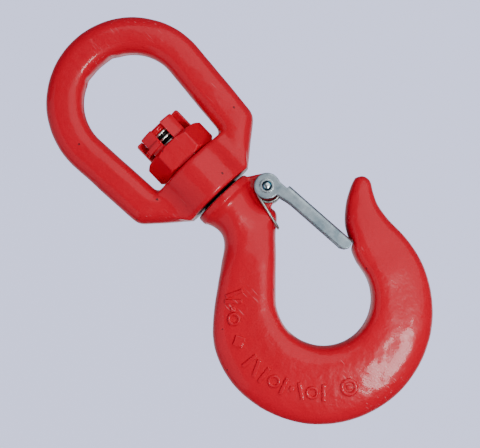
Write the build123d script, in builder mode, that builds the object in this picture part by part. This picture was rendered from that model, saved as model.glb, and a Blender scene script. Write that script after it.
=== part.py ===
from build123d import *
import os
from math import asin, atan2, copysign, cos, hypot, pi, radians, sin, sqrt

# Swivel hook with a safety latch, for lifting with 10 mm chain. Millimetres, +Z up.
# The hook hangs: the origin is where the eye rests on what carries it, the swivel axis is Z,
# the hook's point is towards +X and its flat faces look along -Y and +Y.

# Bail: the forged eye with the swivel boss
eye_radius = 21.6          # inside radius of the eye's round top
eye_length = 58.2          # from the inside of the round top down to the nut's seat
bar_width = 16.2           # bar of the eye, seen from the front
bar_thickness = 16.0       # bar of the eye, seen from the side
bar_rounding = 6.0
arm_taper = 4.3            # degrees that each arm leans inwards on its way down
boss_height = 19.3         # length of the swivel bore
boss_wall = 8.5            # metal around the swivel bore
boss_rounding = 1.8
boss_foot = 16.8           # half width of the flat underside, seen from the front
boss_run_out = 14.0        # hollow radius where the boss runs out into the arms
shoulder_height = 15.3     # from the boss's lower face up to the widest point of the shoulders
eye_corner = 3.0           # inside corners beside the nut

# Swivel: shank, nut and split pin
shank_diameter = 18.0      # M18
thread_pitch = 2.5
thread_depth = 1.35
groove_half = 0.96         # half width of a thread groove at the crest
root_half = 0.2            # half width of its floor
swivel_clearance = 0.1     # all round the shank, in the bail's bore
seat_gap = 0.1             # between the bail and the nut
end_float = 0.8            # between the bail and the hook's collar
nut_across_flats = 27.0
nut_hex_height = 11.3
crown_height = 9.7
crown_diameter = 24.2
crown_slot = 5.3
slot_count = 6
split_pin_diameter = 2.4
split_pin_gap = 0.2        # between its two legs
split_pin_height = 2.9     # its axis above the floor of the crown's slots
split_pin_azimuth = 30.0   # degrees from +X to its eye

# Hook: collar, neck, limb, bowl and point
collar_rim = 4.85          # how far the collar stands out beyond the shank
collar_height = 4.0
neck_half = 12.0           # half thickness of the neck and the limb
bowl_radius = 20.8
bowl_centre_x = 1.2
bowl_drop = 63.0           # from the collar's top down to the bowl's centre
bowl_depth = 31.1          # section at the bottom of the bowl, from the load to the outside
bowl_half_inner = 12.5     # half thickness beside the load
bowl_half_outer = 9.5      # half thickness at the outside
back_shift = 5.1           # the outside circle's centre stands this far behind the bowl's
back_drop = 2.6            # and this far below it

# Latch, its rivet and its spring
pin_x = 17.2
pin_drop = 11.0            # from the collar's top down to the latch's pivot
rivet_diameter = 4.0
rivet_clearance = 0.05
rivet_dome = 1.0
ear_half = 4.25            # half thickness of the hook's ear
ear_radius = 6.0
latch_sheet = 1.5
cheek_radius = 5.7
web_offset = 6.5           # from the pivot to the outside of the latch's web
web_start = 7.2            # from the pivot down to the web's upper edge
cheek_depth = 5.65         # the latch's channel, outside
landing_gap = 0.35         # between the closed latch and the hook's point
washer_diameter = 6.2
washer_thickness = 0.8
wire_diameter = 1.2
coil_turns = 3
coil_outer_radius = 5.4
spring_gap = 0.08
spring_room = 0.416        # from the spring's coils to each of the latch's cheeks
bridge_gap = 0.314         # from the spring's bridge to the limb
limb_gap = 0.1             # least gap from the limb to the legs that hold the bridge
coil_hang = 60.0           # degrees below -X at which the loose coils touch the rivet

# Values that follow from those above
wire_radius = wire_diameter / 2
coil_pitch = 0.96 * wire_diameter    # the turns lie against each other and are joined here
first_turn_y = ear_half + spring_gap + wire_radius
last_turn_y = first_turn_y + (coil_turns - 1) * coil_pitch
latch_half = last_turn_y + wire_radius + spring_room    # half the space between the latch's cheeks
shank_radius = shank_diameter / 2
boss_radius = shank_radius + boss_wall
collar_radius = shank_radius + collar_rim
seat_z = -eye_length
boss_base_z = seat_z - boss_height
collar_z = boss_base_z - end_float
nut_base_z = seat_z + seat_gap
crown_base_z = nut_base_z + nut_hex_height
nut_top_z = crown_base_z + crown_height
pin_z = collar_z - pin_drop
bowl_z = collar_z - bowl_drop
split_pin_z = crown_base_z + split_pin_height
split_pin_radius = split_pin_diameter / 2

os.makedirs("parts", exist_ok=True)


# ---- Bail: one forging, an eye of round-edged bar closed by a thick boss ----

taper = radians(arm_taper)
outer_radius = eye_radius + bar_width


def arm_point(radius, z):
    """A point at height z on the arm's line that touches the eye's circle of this radius."""
    touch_x, touch_z = radius * cos(taper), -eye_radius - radius * sin(taper)
    return (touch_x - (touch_z - z) * sin(taper) / cos(taper), z)


def touch_point(radius):
    return (radius * cos(taper), -eye_radius - radius * sin(taper))


def mirrored(point):
    return (-point[0], point[1])


shoulder = arm_point(outer_radius, boss_base_z + shoulder_height)
base_corner = (boss_foot, boss_base_z)
inner_corner = arm_point(eye_radius, seat_z)

# The boss, thickest around the bore and running out smoothly into the arms
with BuildPart() as boss_block:
    with BuildSketch(Plane.XY.offset(boss_base_z)) as boss_plan:
        Circle(boss_radius)
        Rectangle(2 * shoulder[0], bar_thickness - 2)
        hollows = [v for v in boss_plan.vertices() if abs(v.X) < boss_radius]
        fillet(hollows, radius=boss_run_out)
    extrude(amount=boss_height)
    fillet(boss_block.faces().filter_by(Axis.Z).edges(), radius=boss_rounding)
    with BuildSketch(Plane.XZ):
        with BuildLine():
            Polyline(
                inner_corner, (shoulder[0] - bar_rounding, shoulder[1]), base_corner, mirrored(base_corner),
                (bar_rounding - shoulder[0], shoulder[1]), mirrored(inner_corner), inner_corner,
            )
        make_face()
    extrude(amount=2 * boss_radius, both=True, mode=Mode.INTERSECT)

with BuildPart() as swivel_bail:
    with BuildSketch(Plane.XZ):
        with BuildLine():
            outer_touch = touch_point(outer_radius)
            ThreePointArc(mirrored(outer_touch), (0, bar_width), outer_touch)
            Polyline(
                outer_touch, shoulder, base_corner,
                mirrored(base_corner), mirrored(shoulder), mirrored(outer_touch),
            )
        make_face()
        with BuildLine():
            inner_touch = touch_point(eye_radius)
            ThreePointArc(mirrored(inner_touch), (0, 0), inner_touch)
            Polyline(inner_touch, inner_corner, mirrored(inner_corner), mirrored(inner_touch))
        make_face(mode=Mode.SUBTRACT)
    extrude(amount=bar_thickness / 2, both=True)
    across = swivel_bail.edges().filter_by(Axis.Y)
    fillet(across.filter_by(lambda e: abs(e.center().X) > shoulder[0] - 0.1), radius=bar_rounding + 1)
    across = swivel_bail.edges().filter_by(Axis.Y)
    fillet(across.filter_by(lambda e: abs(e.center().Z - seat_z) < 0.1), radius=eye_corner)
    fillet(swivel_bail.faces().filter_by(Axis.Y).edges(), radius=bar_rounding)
    add(boss_block.part)
    with Locations((0, 0, boss_base_z)):
        Hole(shank_radius + swivel_clearance, depth=4 * boss_height)
swivel_bail.part.label = "swivel_bail"
export_step(swivel_bail.part, "parts/swivel_bail.step")


# ---- Castle nut: hexagon below, slotted round crown above ----

with BuildPart() as castle_nut:
    with BuildSketch(Plane.XY.offset(nut_base_z)):
        RegularPolygon(radius=nut_across_flats / 2, side_count=6, major_radius=False)
    extrude(amount=nut_hex_height)
    corner_radius = nut_across_flats / sqrt(3)
    bevel = corner_radius - nut_across_flats / 2
    with BuildSketch(Plane.XZ):
        with BuildLine():
            Polyline(
                (0, nut_base_z), (corner_radius - bevel, nut_base_z),
                (corner_radius, nut_base_z + bevel * 0.9), (corner_radius, crown_base_z - bevel * 0.7),
                (corner_radius - bevel, crown_base_z), (0, crown_base_z), (0, nut_base_z),
            )
        make_face()
    revolve(axis=Axis.Z, mode=Mode.INTERSECT)
    with BuildSketch(Plane.XY.offset(crown_base_z)):
        Circle(crown_diameter / 2)
    extrude(amount=crown_height)
    fillet(castle_nut.faces().sort_by(Axis.Z)[-1].edges(), radius=0.8)
    with BuildSketch(Plane.XY.offset(crown_base_z)):
        with PolarLocations(0, slot_count, start_angle=30):
            with Locations((crown_diameter / 2, 0)):
                Rectangle(crown_diameter, crown_slot)
    extrude(amount=crown_height + 1, mode=Mode.SUBTRACT)
    with BuildSketch(Plane.XY.offset(nut_base_z)):
        Circle(shank_radius)
    extrude(amount=nut_hex_height + crown_height, mode=Mode.SUBTRACT)
castle_nut.part.label = "castle_nut"
export_step(castle_nut.part, "parts/castle_nut.step")


# ---- Split pin: half-round wire, an eye in one slot, one leg bent round the crown, one cut short ----

leg_middle = split_pin_gap / 2 + split_pin_radius / 2
leg_ring = crown_diameter / 2 + 0.15 + split_pin_radius / 2
bend_radius = 1.7
bend_side = leg_middle + bend_radius
bend_reach = sqrt((leg_ring - bend_radius) ** 2 - bend_side**2)
bend_angle = atan2(bend_side, bend_reach)
leg_wrap = radians(44)
cut_reach = crown_diameter / 2 + 0.8
eye_ring = crown_slot / 2 - 0.35
eye_reach = shank_radius + 0.1 + eye_ring
leg_start = eye_ring - eye_reach - split_pin_radius / 2
# Its plane: X runs from the eye along the pin to the legs' ends, Z stays up
pin_heading = radians(split_pin_azimuth + 180)
pin_plane = Plane(origin=(0, 0, split_pin_z), x_dir=(cos(pin_heading), sin(pin_heading), 0), z_dir=(0, 0, 1))


def on_ring(angle):
    """A point on the circle round the crown that the bent leg follows."""
    return (leg_ring * cos(angle), leg_ring * sin(angle))


with BuildPart() as split_pin:
    for side in (1, -1):
        with BuildLine(pin_plane) as leg_line:
            if side > 0:
                turn = bend_angle / 2 - pi / 4
                bend_middle = (bend_reach + bend_radius * cos(turn), bend_side + bend_radius * sin(turn))
                Line((leg_start, leg_middle), (bend_reach, leg_middle))
                ThreePointArc((bend_reach, leg_middle), bend_middle, on_ring(bend_angle))
                ThreePointArc(on_ring(bend_angle), on_ring((bend_angle + leg_wrap) / 2), on_ring(leg_wrap))
            else:
                Line((leg_start, -leg_middle), (cut_reach, -leg_middle))
        start_plane = Plane(
            origin=pin_plane.from_local_coords(Vector(leg_start, side * leg_middle, 0)),
            x_dir=pin_plane.y_dir, z_dir=pin_plane.x_dir)
        with BuildSketch(start_plane):
            with BuildLine():
                flat, crest = -side * split_pin_radius / 2, side * split_pin_radius / 2
                ThreePointArc((flat, -split_pin_radius), (crest, 0), (flat, split_pin_radius))
                Line((flat, split_pin_radius), (flat, -split_pin_radius))
            make_face()
        sweep(path=leg_line.wires()[0])
    with BuildSketch(pin_plane.offset(-split_pin_radius)):
        with Locations((-eye_reach, 0)):
            Circle(eye_ring)
            Circle(eye_ring - split_pin_radius, mode=Mode.SUBTRACT)
    extrude(amount=2 * split_pin_radius)
split_pin.part.label = "split_pin"
export_step(split_pin.part, "parts/split_pin.step")


# ---- Hook: one forging with its shank, lofted through sections from the collar to the point ----

bowl = (bowl_centre_x, bowl_z)
outer_bowl_radius = bowl_radius + bowl_depth - back_drop
outer_bowl = (bowl_centre_x - back_shift, bowl_z - back_drop)
throat_corner = (12.9, collar_z - 21.1)
throat_touch = radians(136)    # where the straight throat side meets the bowl's circle
section_points = 20


def outside_depth(turn):
    """Depth of the section this many degrees round the bowl, from the inside circle to the outside."""
    angle = radians(turn)
    along = (bowl[0] - outer_bowl[0]) * cos(angle) + (bowl[1] - outer_bowl[1]) * sin(angle)
    apart = (bowl[0] - outer_bowl[0]) ** 2 + (bowl[1] - outer_bowl[1]) ** 2
    return -along + sqrt(along**2 - apart + outer_bowl_radius**2) - bowl_radius


def bowl_station(turn, depth, half_inner, half_outer):
    """Inner and outer point at this many degrees from +X round the bowl, with its half thicknesses."""
    angle = radians(turn)
    near = (bowl[0] + bowl_radius * cos(angle), bowl[1] + bowl_radius * sin(angle))
    reach = bowl_radius + depth
    far = (bowl[0] + reach * cos(angle), bowl[1] + reach * sin(angle))
    return (near, far, half_inner, half_outer, 3.8)


def on_throat_line(share):
    """A point on the straight throat side of the limb, from its upper corner to the bowl."""
    end = (bowl[0] + bowl_radius * cos(throat_touch), bowl[1] + bowl_radius * sin(throat_touch))
    return tuple(a + share * (b - a) for a, b in zip(throat_corner, end))


def below_collar(x, drop):
    return (x, collar_z - drop)


def beyond_bowl(x, rise):
    """A point of the hook's point, from the throat side of the bowl at the height of its centre."""
    return (bowl[0] + bowl_radius + x, bowl[1] + rise)


# Each station: throat-side point, outside point, half thickness at each, squareness of the section
top_half = collar_radius - 0.15
neck_stations = [
    (below_collar(top_half, 3.5), below_collar(-top_half, 3.5), top_half, top_half, 2),
    (below_collar(11.6, 7), below_collar(-11.9, 7), neck_half + 0.3, neck_half + 0.3, 2),
    (below_collar(10.2, 11), below_collar(-11.3, 10.5), neck_half, neck_half, 2.1),
    (below_collar(10.4, 15.5), below_collar(-12.2, 14), neck_half - 1, neck_half - 0.4, 2.1),
    (below_collar(12.3, 20.6), below_collar(-14.6, 17), neck_half - 2.4, neck_half - 0.6, 2.2),
    (on_throat_line(0.18), below_collar(-19.0, 20.3), neck_half - 1.8, neck_half - 0.8, 2.4),
    (on_throat_line(0.45), below_collar(-24.0, 24.1), neck_half, neck_half - 1, 3.2),
    (on_throat_line(0.73), below_collar(-28.7, 27.6), neck_half, neck_half - 1.4, 3.6),
]
bowl_stations = [
    bowl_station(136, 26.0, neck_half, neck_half - 1.6),
    bowl_station(150, 28.9, neck_half, neck_half - 2),
    bowl_station(165, 32.0, bowl_half_inner - 0.2, bowl_half_outer + 0.3),
]
for turn in range(182, 345, 18):
    bowl_stations.append(bowl_station(turn, outside_depth(turn), bowl_half_inner, bowl_half_outer))
bowl_stations.append(bowl_station(352, outside_depth(352), bowl_half_inner - 1.2, bowl_half_outer - 0.6))
point_stations = [
    (beyond_bowl(2.2, 6.0), beyond_bowl(23.4, 4.5), 10.4, 8.3, 3.2),
    (beyond_bowl(5.4, 11.5), beyond_bowl(23.9, 9.5), 9.2, 7.6, 3),
    (beyond_bowl(8.2, 16.4), beyond_bowl(24.9, 14.0), 7.8, 6.8, 2.8),
    (beyond_bowl(11.7, 20.2), beyond_bowl(26.4, 17.2), 6.6, 6.0, 2.6),
    (beyond_bowl(16.2, 23.8), beyond_bowl(28.0, 20.1), 5.4, 5.0, 2.4),
    (beyond_bowl(20.9, 26.4), beyond_bowl(29.4, 22.4), 4.2, 4.0, 2.2),
    (beyond_bowl(23.8, 27.7), beyond_bowl(29.5, 24.7), 3.0, 3.0, 2),
    (beyond_bowl(25.9, 28.3), beyond_bowl(28.4, 27.0), 1.3, 1.3, 2),
]

# The latch's own directions: it leans so that its free end meets the inside of the hook's point
landing = beyond_bowl(5.3, 10.0)
landing_distance = hypot(landing[0] - pin_x, landing[1] - pin_z)
latch_lean = atan2(landing[0] - pin_x, pin_z - landing[1]) - asin(web_offset / landing_distance)
latch_length = sqrt(landing_distance**2 - web_offset**2) + 1.7
latch_across = (cos(latch_lean), 0, sin(latch_lean))
latch_plane = Plane(origin=(pin_x, 0, pin_z), x_dir=latch_across, z_dir=(0, -1, 0))


def section_outline(width, half_inner, half_outer, squareness):
    """Closed round-cornered outline, narrower towards the outside, as points in its own plane."""
    outline = []
    for step in range(section_points):
        c, s = cos(2 * pi * step / section_points), sin(2 * pi * step / section_points)
        across = copysign(abs(c) ** (2 / squareness), c)
        up = copysign(abs(s) ** (2 / squareness), s)
        half = half_inner + (half_outer - half_inner) * (across + 1) / 2
        outline.append((across * width / 2, up * half))
    return outline


def round_ear(angle):
    """A point on the ear's round edge."""
    return (pin_x + ear_radius * cos(angle), pin_z + ear_radius * sin(angle))


with BuildPart() as hook_body:
    for near, far, half_inner, half_outer, squareness in neck_stations + bowl_stations + point_stations:
        width = hypot(far[0] - near[0], far[1] - near[1])
        out_x, out_z = (far[0] - near[0]) / width, (far[1] - near[1]) / width
        middle = ((near[0] + far[0]) / 2, 0, (near[1] + far[1]) / 2)
        with BuildSketch(Plane(origin=middle, x_dir=(out_x, 0, out_z), z_dir=(-out_z, 0, out_x))):
            with BuildLine():
                Spline(*section_outline(width, half_inner, half_outer, squareness), periodic=True)
            make_face()
    loft()
    # Collar under the bail, then the shank up through the bail and the nut
    with BuildSketch(Plane.XY.offset(collar_z - collar_height)):
        Circle(collar_radius)
    extrude(amount=collar_height)
    fillet(hook_body.faces().sort_by(Axis.Z)[-1].edges(), radius=1.0)
    with BuildSketch(Plane.XY.offset(collar_z - collar_height)):
        Circle(shank_radius)
    extrude(amount=nut_top_z - collar_z + collar_height)
    chamfer(hook_body.faces().sort_by(Axis.Z)[-1].edges(), length=1.0)
    # Thread: one ring groove for each pitch, within the nut
    root_radius = shank_radius - thread_depth
    groove_z = nut_top_z - thread_pitch
    while groove_z > nut_base_z + thread_pitch:
        with BuildSketch(Plane.XZ):
            with BuildLine():
                Polyline(
                    (shank_radius + 1, groove_z + groove_half), (shank_radius, groove_z + groove_half),
                    (root_radius, groove_z + root_half), (root_radius, groove_z - root_half),
                    (shank_radius, groove_z - groove_half), (shank_radius + 1, groove_z - groove_half),
                    (shank_radius + 1, groove_z + groove_half),
                )
            make_face()
        revolve(axis=Axis.Z, mode=Mode.SUBTRACT)
        groove_z -= thread_pitch
    # Ear that carries the latch
    with BuildSketch(Plane.XZ):
        with BuildLine():
            ear_top = (collar_radius - 0.3, collar_z - 1.6)
            rise = atan2(ear_top[1] - pin_z, ear_top[0] - pin_x)
            away = hypot(ear_top[0] - pin_x, ear_top[1] - pin_z)
            touch = rise - pi / 2 + asin(ear_radius / away)
            ear_middle, ear_foot = round_ear(touch / 2 - pi / 4), round_ear(-pi / 2)
            Polyline(ear_foot, (6, ear_foot[1] - 3), (6, ear_top[1]), ear_top, round_ear(touch))
            ThreePointArc(round_ear(touch), ear_middle, ear_foot)
        make_face()
    extrude(amount=ear_half, both=True)
    with BuildSketch(Plane.XZ):
        with Locations((pin_x, pin_z)):
            Circle(rivet_diameter / 2)
    extrude(amount=2 * ear_half, both=True, mode=Mode.SUBTRACT)
    # Landing: the step in the hook's point that the closed latch rests against
    with BuildSketch(latch_plane):
        with BuildLine():
            step_x = web_offset + landing_gap
            Polyline(
                (-web_offset, -latch_length + 12), (step_x, -latch_length + 12),
                (step_x, -latch_length + 0.4),
                (web_offset - 3.2, -latch_length - 1.3), (-web_offset, -latch_length - 1.3),
                (-web_offset, -latch_length + 12),
            )
        make_face()
    extrude(amount=2 * bowl_half_inner, both=True, mode=Mode.SUBTRACT)
    # Hole for the split pin
    with BuildSketch(Plane(origin=(0, 0, split_pin_z), z_dir=pin_plane.x_dir)):
        Circle(split_pin_radius + 0.15)
    extrude(amount=shank_diameter, both=True, mode=Mode.SUBTRACT)
hook_body.part.label = "hook_body"
export_step(hook_body.part, "parts/hook_body.step")


# ---- Safety latch: zinc-plated sheet folded to a channel, with two cheeks on the rivet ----

with BuildPart() as safety_latch:
    with BuildSketch(latch_plane):
        with BuildLine():
            inside = web_offset - cheek_depth
            web_inside = web_offset - latch_sheet
            Polyline(
                (-0.5, -4.5), (inside - 0.2, -web_start - 3.4), (inside, -web_start - 6),
                (inside, -latch_length + 3), (inside + 1.0, -latch_length + 0.9),
                (inside + 2.6, -latch_length),
                (web_offset - 0.6, -latch_length + 0.9), (web_offset, -latch_length + 1.7),
                (web_offset, -web_start), (web_inside, -web_start), (web_inside, -2.5), (-0.5, -4.5),
            )
        make_face()
        Circle(cheek_radius)
    extrude(amount=latch_half + latch_sheet, both=True)
    with BuildSketch(latch_plane):
        with Locations((web_inside - 12, -latch_length / 2)):
            Rectangle(24, 2 * latch_length)
        Circle(web_start)
        with Locations((0, -web_start / 2)):
            Rectangle(4 * cheek_radius, web_start)
    extrude(amount=latch_half, both=True, mode=Mode.SUBTRACT)
    long_edges = safety_latch.edges().filter_by(lambda e: e.length > latch_length / 2)
    outside_edges = long_edges.filter_by(lambda e: abs(e.center().Y) > latch_half + latch_sheet / 2)
    beyond_web = latch_plane.from_local_coords(Vector(web_offset + 2, -latch_length / 2, 0))
    fillet(outside_edges.sort_by_distance(beyond_web)[:2], radius=latch_sheet)
    with BuildSketch(latch_plane):
        Circle(rivet_diameter / 2 + rivet_clearance)
    extrude(amount=2 * latch_half, both=True, mode=Mode.SUBTRACT)
safety_latch.part.label = "safety_latch"
export_step(safety_latch.part, "parts/safety_latch.step")


# ---- Latch rivet with a domed head at each end, and the washer under each head ----

washer_inner_y = latch_half + latch_sheet + 0.1
head_y = washer_inner_y + washer_thickness
head_radius = rivet_diameter / 2 + 0.35
pivot_plane = Plane(origin=(pin_x, 0, pin_z), x_dir=(1, 0, 0), z_dir=(0, -1, 0))
# In the profile plane X is the distance from the pivot's axis and Y runs along that axis
rivet_plane = Plane(origin=(pin_x, 0, pin_z), x_dir=(1, 0, 0), z_dir=(0, 0, 1))

dome_radius = (head_radius**2 + rivet_dome**2) / (2 * rivet_dome)
dome_half = asin(head_radius / dome_radius) / 2
dome_middle = (dome_radius * sin(dome_half), head_y + rivet_dome - dome_radius * (1 - cos(dome_half)))

with BuildPart() as latch_rivet:
    with BuildSketch(rivet_plane):
        with BuildLine():
            Line((0, -head_y - rivet_dome), (0, head_y + rivet_dome))
            ThreePointArc((0, head_y + rivet_dome), dome_middle, (head_radius, head_y))
            Polyline(
                (head_radius, head_y), (rivet_diameter / 2, head_y),
                (rivet_diameter / 2, -head_y), (head_radius, -head_y),
            )
            ThreePointArc(
                (head_radius, -head_y), (dome_middle[0], -dome_middle[1]), (0, -head_y - rivet_dome))
        make_face()
    revolve(axis=Axis((pin_x, 0, pin_z), (0, 1, 0)))
latch_rivet.part.label = "latch_rivet"
export_step(latch_rivet.part, "parts/latch_rivet.step")

with BuildPart() as rivet_washers:
    for side in (1, -1):
        with BuildSketch(pivot_plane.offset(side * washer_inner_y)):
            Circle(washer_diameter / 2)
            Circle(rivet_diameter / 2, mode=Mode.SUBTRACT)
        extrude(amount=side * washer_thickness)
rivet_washers.part.label = "rivet_washers"
export_step(rivet_washers.part, "parts/rivet_washers.step")


# ---- Latch spring: one wire, a coil on each side of the ear, joined by a bridge under the limb ----

coil_radius = coil_outer_radius - wire_radius
# The coils hang loose on the rivet and touch it from one side
coil_shift = coil_radius - wire_radius - rivet_diameter / 2 - spring_gap
hang_x, hang_z = coil_shift * cos(radians(coil_hang)), coil_shift * sin(radians(coil_hang))
coil_centre = (pin_x - hang_x, pin_z - hang_z)
# The bridge lies across the throat side of the limb; the free legs lie inside the latch's web
bridge_touch, throat_end = on_throat_line(0.2), on_throat_line(1)
off_limb = Vector(throat_corner[1] - throat_end[1], 0, throat_end[0] - throat_corner[0]).normalized()
line_touch = Vector(bridge_touch[0], 0, bridge_touch[1])
crossings = hook_body.part.find_intersection_points(Axis(line_touch, off_limb))
flank = min((point for point, facing in crossings), key=lambda point: (point - line_touch).length)
bridge_place = flank + off_limb * (wire_radius + bridge_gap)
leg_reach = 20.0
leg_bite = 0.5             # radians back round the coil, where a leg joins it
leg_off_web = web_inside - wire_radius - 0.2
leg_foot = latch_plane.from_local_coords(Vector(leg_off_web, -leg_reach, 0))
leg_end = (leg_foot.X, leg_foot.Z)


def leaves_coil(target, side):
    """Where a straight leg to the target starts within the coil's wire; side is +1 or -1."""
    away = hypot(target[0] - coil_centre[0], target[1] - coil_centre[1])
    heading = atan2(target[1] - coil_centre[1], target[0] - coil_centre[0])
    turn = heading + side * (pi / 2 - asin(coil_radius / away) + leg_bite)
    return (coil_centre[0] + coil_radius * cos(turn), coil_centre[1] + coil_radius * sin(turn))


# Where the limb bulges towards the legs, the bridge stands off by twice what they lack at mid length
bridge_leaves = leaves_coil((bridge_place.X, bridge_place.Z), -1)
with BuildLine(Plane.XZ.offset(-last_turn_y)) as bridge_leg:
    Line(bridge_leaves, (bridge_place.X, bridge_place.Z))
leg_room = hook_body.part.distance_to(bridge_leg.line) - wire_radius
bridge_place += off_limb * 2 * max(0, limb_gap - leg_room)
bridge = (bridge_place.X, bridge_place.Z)


def wire_run(points, balls):
    """Straight runs of round wire, with a ball a little thicker than the wire at each bend and end."""
    for start, end in zip(points, points[1:]):
        direction = Vector(*end) - Vector(*start)
        with BuildSketch(Plane(origin=start, z_dir=direction)) as wire_end:
            Circle(wire_radius)
        extrude(wire_end.sketch, amount=direction.length)
    for corner in balls:
        with Locations(corner):
            Sphere(1.05 * wire_radius)


with BuildPart() as latch_spring:
    bridge_leaves = leaves_coil(bridge, -1)
    leg_leaves = leaves_coil(leg_end, 1)
    with BuildSketch(Plane(origin=(coil_centre[0], 0, coil_centre[1]))):
        for turn in range(coil_turns):
            with Locations((coil_radius, -first_turn_y - turn * coil_pitch)):
                Circle(wire_radius)
    revolve(axis=Axis((coil_centre[0], 0, coil_centre[1]), (0, 1, 0)))
    free_end = (leg_end[0], -first_turn_y, leg_end[1])
    wire_run([(leg_leaves[0], -first_turn_y, leg_leaves[1]), free_end], [free_end])
    mirror(about=Plane.XZ)
    bridge_ends = [(bridge[0], side * last_turn_y, bridge[1]) for side in (-1, 1)]
    wire_run([
        (bridge_leaves[0], -last_turn_y, bridge_leaves[1]), *bridge_ends,
        (bridge_leaves[0], last_turn_y, bridge_leaves[1]),
    ], bridge_ends)
latch_spring.part.label = "latch_spring"
export_step(latch_spring.part, "parts/latch_spring.step")
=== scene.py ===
import bpy
import math
from mathutils import Matrix, Vector


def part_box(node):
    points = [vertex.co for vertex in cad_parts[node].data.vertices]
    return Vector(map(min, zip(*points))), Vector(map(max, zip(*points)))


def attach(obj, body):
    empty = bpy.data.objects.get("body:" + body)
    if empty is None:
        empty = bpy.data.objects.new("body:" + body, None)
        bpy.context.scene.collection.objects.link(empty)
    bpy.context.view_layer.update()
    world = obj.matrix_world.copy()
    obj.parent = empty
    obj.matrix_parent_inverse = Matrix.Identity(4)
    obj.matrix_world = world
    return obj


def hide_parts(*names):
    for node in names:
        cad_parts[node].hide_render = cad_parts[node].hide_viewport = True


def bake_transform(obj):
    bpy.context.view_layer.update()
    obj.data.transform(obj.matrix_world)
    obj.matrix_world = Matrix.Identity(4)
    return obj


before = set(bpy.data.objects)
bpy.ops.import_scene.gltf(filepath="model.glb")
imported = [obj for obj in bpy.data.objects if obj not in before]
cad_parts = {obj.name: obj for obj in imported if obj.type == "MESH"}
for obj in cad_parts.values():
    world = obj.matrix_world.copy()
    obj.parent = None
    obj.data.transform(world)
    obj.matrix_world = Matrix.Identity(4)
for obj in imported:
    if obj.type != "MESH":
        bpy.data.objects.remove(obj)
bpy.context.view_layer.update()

# ---------------------------------------------------------------------------------------------
# Camera: in front of the hook's flat face, looking slightly up at it, and rolled so that the eye
# is up and to the left.
view_middle = Vector((-0.0026, 0.0, -0.0927))
view_distance = 0.62
view_width = 0.2102
rise = math.radians(2.4)
roll = math.radians(43.8)
camera_data = bpy.data.cameras.new("camera")
camera_data.sensor_width = 36.0
camera_data.lens = camera_data.sensor_width * view_distance / view_width
camera_data.clip_start = 0.01
camera = bpy.data.objects.new("camera", camera_data)
bpy.context.scene.collection.objects.link(camera)
backwards = Vector((0.0, -math.cos(rise), -math.sin(rise)))
level_up = Vector((0.0, -math.sin(rise), math.cos(rise)))
camera_right = Vector((math.cos(roll), 0.0, 0.0)) - math.sin(roll) * level_up
camera_up = Vector((math.sin(roll), 0.0, 0.0)) + math.cos(roll) * level_up
turn = Matrix((camera_right, camera_up, backwards)).transposed()
camera.matrix_world = Matrix.Translation(view_middle + view_distance * backwards) @ turn.to_4x4()
bpy.context.scene.camera = camera


# ---------------------------------------------------------------------------------------------
# Studio: a pale matt floor that sweeps up all round into a wall, and soft lamps.
# The hook hangs well above the floor, so the wall is what shows behind it.
def linear_colour(hex_value):
    """The linear RGBA of an sRGB hex value."""
    channels = [int(hex_value[i:i + 2], 16) / 255 for i in (1, 3, 5)]
    return tuple(c / 12.92 if c <= 0.04045 else ((c + 0.055) / 1.055) ** 2.4 for c in channels) + (1.0,)


def add_node(tree, kind, settings=None, inputs=None):
    """Adds a node, with its settings, and its inputs as values or as sockets to link from."""
    made = tree.nodes.new(kind)
    for name, value in (settings or {}).items():
        setattr(made, name, value)
    for name, value in (inputs or {}).items():
        if isinstance(value, bpy.types.NodeSocket):
            tree.links.new(value, made.inputs[name])
        else:
            made.inputs[name].default_value = value
    return made


def new_material(name):
    """An empty material, and its node tree."""
    material = bpy.data.materials.new(name)
    material.use_nodes = True
    material.node_tree.nodes.clear()
    return material, material.node_tree


def finish_material(tree, shader):
    add_node(tree, "ShaderNodeOutputMaterial", inputs={"Surface": shader.outputs[0]})


def link_mesh(name, mesh):
    """A new object that holds this mesh, at the origin."""
    made = bpy.data.objects.new(name, mesh)
    bpy.context.scene.collection.objects.link(made)
    return made


def select_only(piece):
    bpy.ops.object.select_all(action="DESELECT")
    piece.select_set(True)
    bpy.context.view_layer.objects.active = piece


floor_z = -1.00
floor_radius = 1.15
sweep_radius = 0.45
wall_height = 2.2
sweep_steps = 12
profile = [(0.0, floor_z), (floor_radius, floor_z)]
for step in range(1, sweep_steps + 1):
    angle = math.radians(90 * step / sweep_steps)
    out, up = sweep_radius * math.sin(angle), sweep_radius * (1 - math.cos(angle))
    profile.append((floor_radius + out, floor_z + up))
profile.append((floor_radius + sweep_radius, floor_z + wall_height))
studio_mesh = bpy.data.meshes.new("studio_sweep")
edges = [(i, i + 1) for i in range(len(profile) - 1)]
studio_mesh.from_pydata([(x, 0.0, z) for x, z in profile], edges, [])
studio = link_mesh("studio_sweep", studio_mesh)
select_only(studio)
bpy.ops.object.mode_set(mode="EDIT")
bpy.ops.mesh.select_all(action="SELECT")
bpy.ops.mesh.spin(steps=64, angle=2 * math.pi, center=(0, 0, 0), axis=(0, 0, 1))
bpy.ops.mesh.remove_doubles(threshold=0.0001)
bpy.ops.mesh.normals_make_consistent(inside=True)
bpy.ops.object.mode_set(mode="OBJECT")
bpy.ops.object.shade_smooth()
# Backlit matt acrylic: a cool pale grey that glows evenly, so no corner of the studio goes dark.
# It lights nothing itself: the lamps and the dim air of the room shape the hook.
studio_paint, tree = new_material("studio_acrylic_matt")
finish_material(tree, add_node(tree, "ShaderNodeBsdfPrincipled", inputs={
    "Base Color": linear_colour("#D2D4E4"), "Roughness": 0.9, "Specular IOR Level": 0.1,
    "Emission Color": linear_colour("#CBD0F6"), "Emission Strength": 1.4}))
studio.data.materials.append(studio_paint)
studio.visible_glossy = False
studio.visible_diffuse = False

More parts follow.
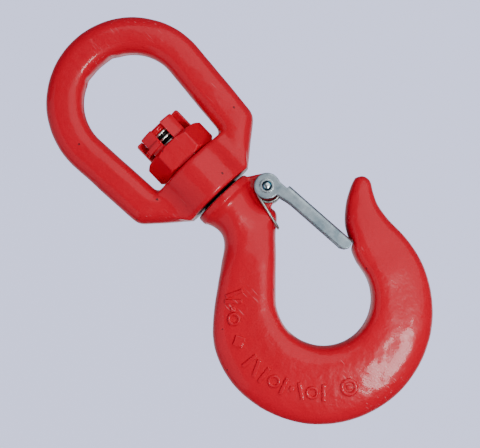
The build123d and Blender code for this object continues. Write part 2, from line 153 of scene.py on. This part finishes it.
world = bpy.data.worlds.new("studio_air")
bpy.context.scene.world = world
world.use_nodes = True
world.node_tree.nodes["Background"].inputs["Color"].default_value = linear_colour("#E4E9F5")
world.node_tree.nodes["Background"].inputs["Strength"].default_value = 0.20


def soft_lamp(name, place, aim, width, height, power, tint):
    """A rectangular soft lamp that shines from its place to the point it aims at."""
    lamp = bpy.data.lights.new(name, "AREA")
    lamp.shape = "RECTANGLE"
    lamp.size = width
    lamp.size_y = height
    lamp.energy = power
    lamp.color = linear_colour(tint)[:3]
    holder = bpy.data.objects.new(name, lamp)
    holder.location = place
    holder.rotation_euler = (Vector(aim) - Vector(place)).to_track_quat("-Z", "Y").to_euler()
    holder.visible_camera = False
    bpy.context.scene.collection.objects.link(holder)


hook_middle = (0.0, 0.0, -0.09)
soft_lamp("lamp_key", (0.62, -0.80, -0.10), hook_middle, 1.3, 1.3, 7.6, "#FFFFFF")
soft_lamp("lamp_low", (0.05, -0.62, -0.43), (0.0, 0.0, -0.15), 0.20, 0.14, 2.4, "#FFFFFF")
soft_lamp("lamp_left", (-0.85, -0.45, 0.30), hook_middle, 1.2, 1.2, 3.0, "#F4F7FF")
soft_lamp("lamp_back", (0.1, 0.95, -0.60), hook_middle, 1.4, 1.0, 4.0, "#F4F7FF")
soft_lamp("lamp_rear", (-0.70, 1.00, 0.25), hook_middle, 1.6, 1.6, 4.0, "#F4F7FF")


# ---------------------------------------------------------------------------------------------
# Bail: a drop forging with rounded edges, shot-blasted and dipped in glossy red enamel.
# The boss at its foot is bored for the shank, and the hook turns in it.
def copy_of(node, name):
    """A new piece with the shape of a CAD node, its loose triangles merged."""
    piece = link_mesh(name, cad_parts[node].data.copy())
    piece.data.materials.clear()
    select_only(piece)
    bpy.ops.object.mode_set(mode="EDIT")
    bpy.ops.mesh.select_all(action="SELECT")
    bpy.ops.mesh.remove_doubles(threshold=0.00001)
    bpy.ops.mesh.normals_make_consistent(inside=False)
    bpy.ops.object.mode_set(mode="OBJECT")
    return piece


def apply_modifier(piece, kind, **settings):
    """Adds one modifier with its settings and applies it."""
    modifier = piece.modifiers.new(kind.lower(), kind)
    for name, value in settings.items():
        setattr(modifier, name, value)
    select_only(piece)
    bpy.ops.object.modifier_apply(modifier=modifier.name)


def mark_group(piece, group, chosen):
    """A vertex group of the vertices whose place passes the test."""
    marked = piece.vertex_groups.new(name=group)
    marked.add([v.index for v in piece.data.vertices if chosen(v.co)], 1.0, "REPLACE")


def soften(piece, grain, rounds, group="", chosen=None):
    """Rounds every edge as forging, blasting and paint do: an even mesh of this grain, then smoothed.
    With a group, only the vertices whose place passes the test are smoothed."""
    apply_modifier(piece, "REMESH", mode="VOXEL", voxel_size=grain, adaptivity=0.0)
    if group:
        mark_group(piece, group, chosen)
    apply_modifier(piece, "SMOOTH", factor=0.5, iterations=rounds, vertex_group=group)


def forged_waves(piece, depth, length, group=""):
    """Gives a forging its slight unevenness, in the mesh itself."""
    waves = bpy.data.textures.new(piece.name + "_waves", "CLOUDS")
    waves.noise_scale = length
    waves.noise_depth = 2
    apply_modifier(
        piece, "DISPLACE", texture=waves, texture_coords="LOCAL", strength=depth, mid_level=0.5,
        vertex_group=group)


def red_enamel(name, bare_shade_low, bare_shade_high, bare_shade_reach, crest_z=0.0, pitch=0.0):
    """Gloss alkyd enamel, dipped over blasted steel: deep red, with orange peel over the pits of the
    forging, small dark chips and a painted highlight that lightens the edges. The working faces between two
    heights, and within a reach of the swivel's axis, have lost it and show oily steel, painted near black,
    which is also painted shade for the deep gaps between the parts. A thread, given as the height of one
    crest and its pitch, is rubbed bright on its crests."""
    material, tree = new_material(name)
    place = add_node(tree, "ShaderNodeTexCoord").outputs["Object"]
    along = add_node(tree, "ShaderNodeSeparateXYZ", inputs={"Vector": place})
    reach = add_node(tree, "ShaderNodeMath", {"operation": "MULTIPLY"}, {
        0: along.outputs["X"], 1: along.outputs["X"]})
    reach = add_node(tree, "ShaderNodeMath", {"operation": "MULTIPLY_ADD"}, {
        0: along.outputs["Y"], 1: along.outputs["Y"], 2: reach.outputs[0]})
    reach = add_node(tree, "ShaderNodeMath", {"operation": "SQRT"}, {0: reach.outputs[0]})
    # The bare zone: oily steel, painted near black so that it also stands for the shade in the gap under the
    # boss and inside the nut
    bare_steel_and_shade = [
        add_node(tree, "ShaderNodeMapRange", inputs={
            "Value": along.outputs["Z"], "From Min": bare_shade_low - 0.0001, "From Max": bare_shade_low + 0.0001}),
        add_node(tree, "ShaderNodeMapRange", inputs={
            "Value": along.outputs["Z"], "From Min": bare_shade_high + 0.0004, "From Max": bare_shade_high - 0.0004}),
        add_node(tree, "ShaderNodeMapRange", inputs={
            "Value": reach.outputs[0], "From Min": bare_shade_reach + 0.0001, "From Max": bare_shade_reach - 0.0001})]
    bare_steel_and_shade = add_node(tree, "ShaderNodeMath", {"operation": "MULTIPLY"}, {
        0: add_node(tree, "ShaderNodeMath", {"operation": "MULTIPLY"}, {
            0: bare_steel_and_shade[0].outputs["Result"], 1: bare_steel_and_shade[1].outputs["Result"]}).outputs[0],
        1: bare_steel_and_shade[2].outputs["Result"]}).outputs[0]
    # The enamel's own colour, a little lighter on the sharp edges: a painted highlight for the pale rims the
    # edges reflect
    sharpness = add_node(tree, "ShaderNodeNewGeometry").outputs["Pointiness"]
    clouds = add_node(tree, "ShaderNodeTexNoise", inputs={"Vector": place, "Scale": 1 / 0.030, "Detail": 3.0})
    tone = add_node(tree, "ShaderNodeMix", {"data_type": "RGBA"}, {
        "Factor": clouds.outputs["Fac"], "A": linear_colour("#CE0020"), "B": linear_colour("#DE002A")})
    edge_highlight_amount = add_node(tree, "ShaderNodeMapRange", inputs={
        "Value": sharpness, "From Min": 0.515, "From Max": 0.60, "To Min": 0.0, "To Max": 0.55})
    painted_edge_highlight = add_node(tree, "ShaderNodeMix", {"data_type": "RGBA"}, {
        "Factor": edge_highlight_amount.outputs["Result"], "A": tone.outputs["Result"], "B": linear_colour("#EC2038")})
    # Chips: small spots about 1 mm across, about 9 mm apart, and only where a second pattern is high
    spots = add_node(tree, "ShaderNodeTexVoronoi", {"feature": "F1"}, {
        "Vector": place, "Scale": 1 / 0.009, "Randomness": 1.0})
    ragged = add_node(tree, "ShaderNodeTexNoise", inputs={
        "Vector": place, "Scale": 1 / 0.0008, "Detail": 2.0})
    spot_edge = add_node(tree, "ShaderNodeMath", {"operation": "MULTIPLY_ADD"}, {
        0: ragged.outputs["Fac"], 1: 0.10, 2: spots.outputs["Distance"]})
    spot = add_node(tree, "ShaderNodeMapRange", inputs={
        "Value": spot_edge.outputs[0], "From Min": 0.115, "From Max": 0.095, "To Min": 0.0, "To Max": 1.0})
    rare = add_node(tree, "ShaderNodeTexNoise", inputs={"Vector": place, "Scale": 1 / 0.016, "Detail": 0.0})
    where = add_node(tree, "ShaderNodeMapRange", inputs={
        "Value": rare.outputs["Fac"], "From Min": 0.55, "From Max": 0.58, "To Min": 0.0, "To Max": 1.0})
    chip = add_node(tree, "ShaderNodeMath", {"operation": "MULTIPLY"}, {
        0: spot.outputs["Result"], 1: where.outputs["Result"]}).outputs[0]
    chipped = add_node(tree, "ShaderNodeMix", {"data_type": "RGBA"}, {
        "Factor": chip, "A": painted_edge_highlight.outputs["Result"], "B": linear_colour("#5E2224")})
    # Scuffs: pale hair lines up to 10 mm long and well under 1 mm wide, in a few places only
    slanted = add_node(tree, "ShaderNodeMapping", inputs={
        "Vector": place, "Rotation": (0.0, math.radians(38), math.radians(20)), "Scale": (1.0, 1.0, 0.06)})
    hairs = add_node(tree, "ShaderNodeTexNoise", inputs={
        "Vector": slanted.outputs["Vector"], "Scale": 1 / 0.0006, "Detail": 1.0})
    hair = add_node(tree, "ShaderNodeMapRange", inputs={
        "Value": hairs.outputs["Fac"], "From Min": 0.66, "From Max": 0.72})
    worn = add_node(tree, "ShaderNodeTexNoise", inputs={"Vector": place, "Scale": 1 / 0.022, "Detail": 1.0})
    worn = add_node(tree, "ShaderNodeMapRange", inputs={
        "Value": worn.outputs["Fac"], "From Min": 0.57, "From Max": 0.66, "To Min": 0.0, "To Max": 0.5})
    scuff = add_node(tree, "ShaderNodeMath", {"operation": "MULTIPLY"}, {
        0: hair.outputs["Result"], 1: worn.outputs["Result"]}).outputs[0]
    scuffed = add_node(tree, "ShaderNodeMix", {"data_type": "RGBA"}, {
        "Factor": scuff, "A": chipped.outputs["Result"], "B": linear_colour("#E88A90")})
    # Thread: bright on the crests. Between them, and over all the bare steel, it is near black, which stands
    # for oily steel and is also painted shade
    from_crest = add_node(tree, "ShaderNodeMath", {"operation": "SUBTRACT"}, {
        0: along.outputs["Z"], 1: crest_z})
    from_crest = add_node(tree, "ShaderNodeMath", {"operation": "PINGPONG"}, {
        0: from_crest.outputs[0], 1: pitch / 2})
    crest = add_node(tree, "ShaderNodeMapRange", inputs={
        "Value": from_crest.outputs[0], "From Min": 0.0005, "From Max": 0.0003,
        "To Min": 0.0, "To Max": 1.0 if pitch else 0.0})
    steel_with_painted_shade = add_node(tree, "ShaderNodeMix", {"data_type": "RGBA"}, {
        "Factor": crest.outputs["Result"], "A": linear_colour("#1C1716"), "B": linear_colour("#DAD6D0")})
    colour = add_node(tree, "ShaderNodeMix", {"data_type": "RGBA"}, {
        "Factor": bare_steel_and_shade, "A": scuffed.outputs["Result"], "B": steel_with_painted_shade.outputs["Result"]})
    haze = add_node(tree, "ShaderNodeTexNoise", inputs={"Vector": place, "Scale": 1 / 0.006, "Detail": 4.0})
    gloss = add_node(tree, "ShaderNodeMapRange", inputs={
        "Value": haze.outputs["Fac"], "From Min": 0.3, "From Max": 0.7, "To Min": 0.26, "To Max": 0.40})
    rough = add_node(tree, "ShaderNodeMath", {"operation": "MULTIPLY_ADD", "use_clamp": True}, {
        0: chip, 1: 0.35, 2: gloss.outputs["Result"]})
    # Relief: fine orange peel 1.6 mm across, and the dimples of the blasted forging 4 mm across
    peel = add_node(tree, "ShaderNodeTexNoise", inputs={"Vector": place, "Scale": 1 / 0.0016, "Detail": 1.0})
    dimples = add_node(tree, "ShaderNodeTexNoise", inputs={
        "Vector": place, "Scale": 1 / 0.0040, "Detail": 2.0})
    relief = add_node(tree, "ShaderNodeMath", {"operation": "MULTIPLY_ADD"}, {
        0: peel.outputs["Fac"], 1: 0.30, 2: dimples.outputs["Fac"]})
    relief = add_node(tree, "ShaderNodeMath", {"operation": "MULTIPLY_ADD"}, {
        0: chip, 1: -0.5, 2: relief.outputs[0]})
    bump = add_node(tree, "ShaderNodeBump", inputs={
        "Strength": 0.7, "Distance": 0.0004, "Height": relief.outputs[0]})
    finish_material(tree, add_node(tree, "ShaderNodeBsdfPrincipled", inputs={
        "Base Color": colour.outputs["Result"], "Metallic": bare_steel_and_shade, "Roughness": rough.outputs[0],
        "Specular IOR Level": 0.15, "Coat Weight": 0.3, "Coat Roughness": 0.10,
        "Normal": bump.outputs["Normal"]}))
    return material


boss_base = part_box("swivel_bail")[0].z
# The boss's underside is bare steel painted near black: oily steel, and the painted shade of the deep gap
# over the hook's collar
bail_enamel = red_enamel("red_enamel_gloss_bail", boss_base - 0.002, boss_base + 0.0004, 0.0165)
bail = copy_of("swivel_bail", "forged_bail")
soften(bail, 0.00065, 14)
# The bore is machined, so it stays true
mark_group(bail, "forging", lambda place: math.hypot(place.x, place.y) > 0.0100)
forged_waves(bail, 0.00035, 0.012, "forging")
bail.data.materials.append(bail_enamel)
bpy.ops.object.shade_smooth()
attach(bail, "bail")
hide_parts("swivel_bail")


# ---------------------------------------------------------------------------------------------
# Hook: one drop forging from its threaded shank to its point, dipped in the same enamel.
# Raised marks stand on its flat face: plain bars, dots, rings and a lozenge in place of words.
collar_top = boss_base - 0.0008
bowl_middle = Vector((0.0012, 0.0, collar_top - 0.063))


def raised_mark(piece, kind, degrees, radius, size=1.0):
    """One raised mark on the near flat face, at this angle and radius round the bowl."""
    outwards = Vector((math.cos(math.radians(degrees)), 0.0, math.sin(math.radians(degrees))))
    start = bowl_middle + outwards * radius + Vector((0.0, -0.05, 0.0))
    point, normal = piece.ray_cast(start, Vector((0.0, 1.0, 0.0)))[1:3]
    along = (outwards - normal * outwards.dot(normal)).normalized()
    axes = Matrix((along, normal.cross(along), normal)).transposed().to_4x4()
    length, width, lean = {
        "bar": (0.0076, 0.0016, 0), "slant": (0.0078, 0.0016, 24), "dot": (0.0024, 0.0024, 0),
        "lozenge": (0.0044, 0.0044, 45), "ring": (0.0060, 0.0060, 0)}[kind]
    if kind == "ring":
        bpy.ops.mesh.primitive_torus_add(
            major_segments=32, minor_segments=12, major_radius=0.37, minor_radius=0.13)
    elif kind == "dot":
        bpy.ops.mesh.primitive_cylinder_add(vertices=24, radius=0.5, depth=1.0)
    else:
        bpy.ops.mesh.primitive_cube_add(size=1.0)
    mark = bpy.context.active_object
    height = 0.0060 if kind == "ring" else 0.0024
    stretch = Matrix.Diagonal((length * size, width * size, height, 1.0))
    sunk = Matrix.Translation(point + normal * (0.0001 if kind == "ring" else 0.00085 - height / 2))
    mark.data.transform(sunk @ axes @ Matrix.Rotation(math.radians(lean), 4, "Z") @ stretch)
    mark.matrix_world = Matrix.Identity(4)
    soften(mark, 0.00022, 3)
    return mark


hook = copy_of("hook_body", "forged_hook")
# The shank and its thread are machined: only what lies below the collar is a rough forging
soften(hook, 0.00058, 8, "forging", lambda place: place.z < collar_top - 0.002)
forged_waves(hook, 0.00035, 0.012, "forging")
marks = [raised_mark(hook, kind, degrees, radius) for kind, degrees, radius in (
    ("slant", 133, 0.0385), ("bar", 138, 0.0388), ("dot", 143, 0.0392), ("ring", 149, 0.0396),
    ("lozenge", 163, 0.0407), ("bar", 176, 0.0415), ("slant", 182, 0.0415), ("bar", 188, 0.0415),
    ("ring", 195, 0.0413), ("bar", 201.5, 0.0411), ("dot", 206.5, 0.0409), ("slant", 212, 0.0407),
    ("ring", 219, 0.0405), ("bar", 226, 0.0402))]
marks.append(raised_mark(hook, "ring", 242, 0.0393, 1.35))
marks.append(raised_mark(hook, "dot", 242, 0.0393))
bpy.ops.object.select_all(action="DESELECT")
for mark in marks:
    mark.select_set(True)
hook.select_set(True)
bpy.context.view_layer.objects.active = hook
bpy.ops.object.join()
nut_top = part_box("castle_nut")[1].z
# The collar's top face and the shank are bare steel painted near black: oily steel, and the painted shade of
# the gap under the boss and inside the nut's slots
hook_enamel = red_enamel(
    "red_enamel_gloss_hook", collar_top - 0.0003, nut_top - 0.0032, 0.0145, nut_top - 0.00125, 0.0025)
hook.data.materials.append(hook_enamel)
bpy.ops.object.shade_smooth()
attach(hook, "hook")
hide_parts("hook_body")


# ---------------------------------------------------------------------------------------------
# Castle nut and split pin: turned and milled steel, painted over with the hook once the pin's
# legs are bent, so their edges are softened by the paint.
nut_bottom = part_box("castle_nut")[0].z
# The nut's underside is bare steel painted near black: oily steel, and painted shade where it sits on the
# boss
nut_enamel = red_enamel("red_enamel_gloss_nut", nut_bottom - 0.002, nut_bottom + 0.0002, 0.0160)
nut = copy_of("castle_nut", "painted_castle_nut")
soften(nut, 0.00028, 4)
nut.data.materials.append(nut_enamel)
bpy.ops.object.shade_smooth()
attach(nut, "hook")
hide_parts("castle_nut")

pin = copy_of("split_pin", "painted_split_pin")
soften(pin, 0.00015, 4)
pin.data.materials.append(nut_enamel)
bpy.ops.object.shade_smooth()
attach(pin, "hook")
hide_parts("split_pin")


# ---------------------------------------------------------------------------------------------
# Safety latch: 1.5 mm steel sheet, blanked, folded to a channel and zinc-plated.
# Its two cheeks turn on the rivet, and the spring holds it against the hook's point.
def zinc_plate(name, light, dark, roughness, spangle, rim=None):
    """Zinc plate: pale blue-grey metal with a faint mottle and fine scratches. A rim, given as the point
    its axis along Y goes through and its inner and outer radius, is painted dark blue: the blue stain of the
    passivation, darkened as a painted reflection of the dark room on the dome's curved edge."""
    material, tree = new_material(name)
    place = add_node(tree, "ShaderNodeTexCoord").outputs["Object"]
    mottle = add_node(tree, "ShaderNodeTexNoise", inputs={
        "Vector": place, "Scale": 1 / spangle, "Detail": 5.0, "Roughness": 0.6})
    patch = add_node(tree, "ShaderNodeMapRange", inputs={
        "Value": mottle.outputs["Fac"], "From Min": 0.32, "From Max": 0.68})
    colour = add_node(tree, "ShaderNodeMix", {"data_type": "RGBA"}, {
        "Factor": patch.outputs["Result"], "A": linear_colour(dark), "B": linear_colour(light)})
    if rim:
        middle, inner, outer = rim
        away = add_node(tree, "ShaderNodeVectorMath", {"operation": "SUBTRACT"}, {0: place, 1: middle})
        flat = add_node(tree, "ShaderNodeVectorMath", {"operation": "MULTIPLY"}, {
            0: away.outputs[0], 1: (1.0, 0.0, 1.0)})
        radius = add_node(tree, "ShaderNodeVectorMath", {"operation": "LENGTH"}, {0: flat.outputs[0]})
        inside = add_node(tree, "ShaderNodeMapRange", inputs={
            "Value": radius.outputs["Value"], "From Min": inner - 0.0002, "From Max": inner + 0.0002})
        outside = add_node(tree, "ShaderNodeMapRange", inputs={
            "Value": radius.outputs["Value"], "From Min": outer + 0.0001, "From Max": outer - 0.0001})
        # The rim's dark blue is partly the passivation's blue stain and partly a painted reflection of the
        # dark room on the dome's edge
        blue_stain_and_painted_reflection = add_node(tree, "ShaderNodeMath", {"operation": "MULTIPLY"}, {
            0: inside.outputs["Result"], 1: outside.outputs["Result"]})
        colour = add_node(tree, "ShaderNodeMix", {"data_type": "RGBA"}, {
            "Factor": blue_stain_and_painted_reflection.outputs[0], "A": colour.outputs["Result"], "B": linear_colour("#0F5A70")})
    rough = add_node(tree, "ShaderNodeMapRange", inputs={
        "Value": mottle.outputs["Fac"], "From Min": 0.3, "From Max": 0.7,
        "To Min": roughness + 0.08, "To Max": roughness - 0.06})
    stretched = add_node(tree, "ShaderNodeMapping", inputs={"Vector": place, "Scale": (1.0, 1.0, 0.12)})
    drawn = add_node(tree, "ShaderNodeTexNoise", inputs={
        "Vector": stretched.outputs["Vector"], "Scale": 1 / 0.0005, "Detail": 3.0})
    bump = add_node(tree, "ShaderNodeBump", inputs={
        "Strength": 0.35, "Distance": 0.00004, "Height": drawn.outputs["Fac"]})
    finish_material(tree, add_node(tree, "ShaderNodeBsdfPrincipled", inputs={
        "Base Color": colour.outputs["Result"], "Metallic": 1.0, "Roughness": rough.outputs["Result"],
        "Normal": bump.outputs["Normal"]}))
    return material


latch = copy_of("safety_latch", "folded_latch")
soften(latch, 0.00028, 2)
latch.data.materials.append(zinc_plate("zinc_plate_sheet", "#B2BFC7", "#7C8D97", 0.36, 0.004))
bpy.ops.object.shade_smooth()
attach(latch, "latch")
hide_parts("safety_latch")


# ---------------------------------------------------------------------------------------------
# Rivet and washers: bright zinc-plated steel. The rivet's heads are peened over the washers.
pivot = (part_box("latch_rivet")[0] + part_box("latch_rivet")[1]) / 2
rivet_zinc = zinc_plate("zinc_plate_rivet", "#E6EEF2", "#B4C4CC", 0.20, 0.002, (pivot, 0.0013, 0.0021))
washer_zinc = zinc_plate("zinc_plate_washer", "#DCE6EA", "#AEBFC6", 0.24, 0.002)
for node, metal in (("latch_rivet", rivet_zinc), ("rivet_washers", washer_zinc)):
    part = copy_of(node, "bright_" + node)
    soften(part, 0.00012, 3)
    part.data.materials.append(metal)
    bpy.ops.object.shade_smooth()
    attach(part, "hook")
    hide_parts(node)


# ---------------------------------------------------------------------------------------------
# Latch spring: 1.2 mm spring wire, a coil each side of the ear. Its bridge lies close to the limb and
# its two free legs press the latch's web outwards, so it winds up as the latch opens.
wire_radius = 0.0006
coil_radius = 0.0048
coil_middle = Vector((pivot.x - 0.00106, 0.0, pivot.z - 0.00184))
coil_turns = 3
points_each_turn = 28
first_turn_y = 0.00493
coil_pitch = 0.00115
bridge_corner = Vector((0.00818, 0.0, pivot.z - 0.01618))
free_end = Vector((pivot.x + 0.00586, 0.0, pivot.z - 0.01955))


def leaving_angle(target, side):
    """The angle round the coil at which a straight leg runs off to the target."""
    reach = target - coil_middle
    return math.atan2(reach.z, reach.x) + side * math.acos(coil_radius / math.hypot(reach.x, reach.z))


def half_of_spring(side):
    """The wire's line on one side of the ear, from the middle of the bridge to the free leg's end."""
    start = leaving_angle(bridge_corner, -1)
    end = leaving_angle(free_end, 1)
    swept = (start - end) % (2 * math.pi) + 2 * math.pi * (coil_turns - 1)
    count = round(swept / (2 * math.pi) * points_each_turn)
    outer_y = first_turn_y + coil_pitch * (coil_turns - 1)
    line = [Vector((bridge_corner.x, side * outer_y * share, bridge_corner.z)) for share in (0.0, 0.5, 0.82)]
    line.append(Vector((bridge_corner.x + 0.0002, side * outer_y * 0.98, bridge_corner.z + 0.0008)))
    for step in range(count + 1):
        angle = start - swept * step / count
        y = outer_y + (first_turn_y - outer_y) * step / count
        round_coil = Vector((coil_radius * math.cos(angle), side * y, coil_radius * math.sin(angle)))
        line.append(coil_middle + round_coil)
    line.append(Vector((free_end.x, side * first_turn_y, free_end.z)))
    return line


wire_line = list(reversed(half_of_spring(-1))) + half_of_spring(1)[1:]
wire = bpy.data.curves.new("spring_line", "CURVE")
wire.dimensions = "3D"
wire.bevel_depth = wire_radius
wire.bevel_resolution = 5
wire.use_fill_caps = True
spline = wire.splines.new("POLY")
spline.points.add(len(wire_line) - 1)
for point, place in zip(spline.points, wire_line):
    point.co = (*place, 1.0)
wire_object = link_mesh("spring_line", wire)
spring = link_mesh("wire_latch_spring", bpy.data.meshes.new_from_object(wire_object))
bpy.data.objects.remove(wire_object)
select_only(spring)
bpy.ops.object.shade_smooth()
# Drawn spring wire, zinc-plated: pale grey metal with a dull greenish film
spring_steel, tree = new_material("spring_wire_drawn")
place = add_node(tree, "ShaderNodeTexCoord").outputs["Object"]
film = add_node(tree, "ShaderNodeTexNoise", inputs={"Vector": place, "Scale": 1 / 0.0015, "Detail": 4.0})
colour = add_node(tree, "ShaderNodeMix", {"data_type": "RGBA"}, {
    "Factor": film.outputs["Fac"], "A": linear_colour("#8E9692"), "B": linear_colour("#C6CAC6")})
rough = add_node(tree, "ShaderNodeMapRange", inputs={
    "Value": film.outputs["Fac"], "To Min": 0.28, "To Max": 0.48})
finish_material(tree, add_node(tree, "ShaderNodeBsdfPrincipled", inputs={
    "Base Color": colour.outputs["Result"], "Metallic": 1.0, "Roughness": rough.outputs["Result"]}))
spring.data.materials.append(spring_steel)
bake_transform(spring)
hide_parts("latch_spring")
